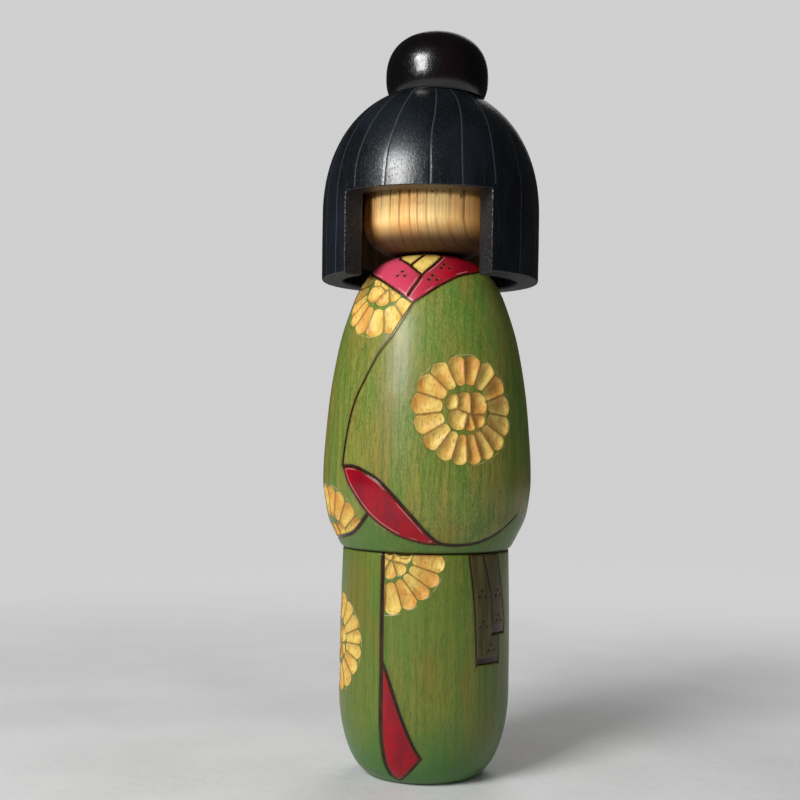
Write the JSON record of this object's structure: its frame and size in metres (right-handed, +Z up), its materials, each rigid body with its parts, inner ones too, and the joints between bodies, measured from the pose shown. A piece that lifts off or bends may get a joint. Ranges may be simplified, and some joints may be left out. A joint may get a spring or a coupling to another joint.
{
  "type": "kokeshi doll",
  "caption": "Turned wooden kokeshi doll with a stepped kimono body, a bell of black hair open in front of the face, and a topknot. The head turns on its neck.",
  "frame": {"origin": "centre of the flat base, on the surface the doll stands on", "axes": "+Z up along the turning axis, -Y towards where the face looks, +X to the doll's left"},
  "size_m": [0.0722, 0.0721, 0.2454],
  "materials": {
    "green_stain": "green stain with carved gold flowers and burnt lines, satin varnish",
    "black_lacquer": "polished black stain with incised strands",
    "bare_wood": "clear satin varnish on plain wood with upright grain",
    "dowel_wood": "raw"
  },
  "bodies": {
    "body": {"skirt": "green_stain", "torso": "green_stain", "waist_dowel": "dowel_wood"},
    "head": {"neck_dowel": "dowel_wood", "face_barrel": "bare_wood", "hair_shell": "black_lacquer", "crown_dowel": "dowel_wood", "topknot": "black_lacquer"}
  },
  "joints": [
    {"name": "neck_turn", "type": "hinge", "parent": "body", "child": "head", "pos_m": [0, 0, 0.1706], "axis": [0, 0, 1], "continuous": true}
  ]
}
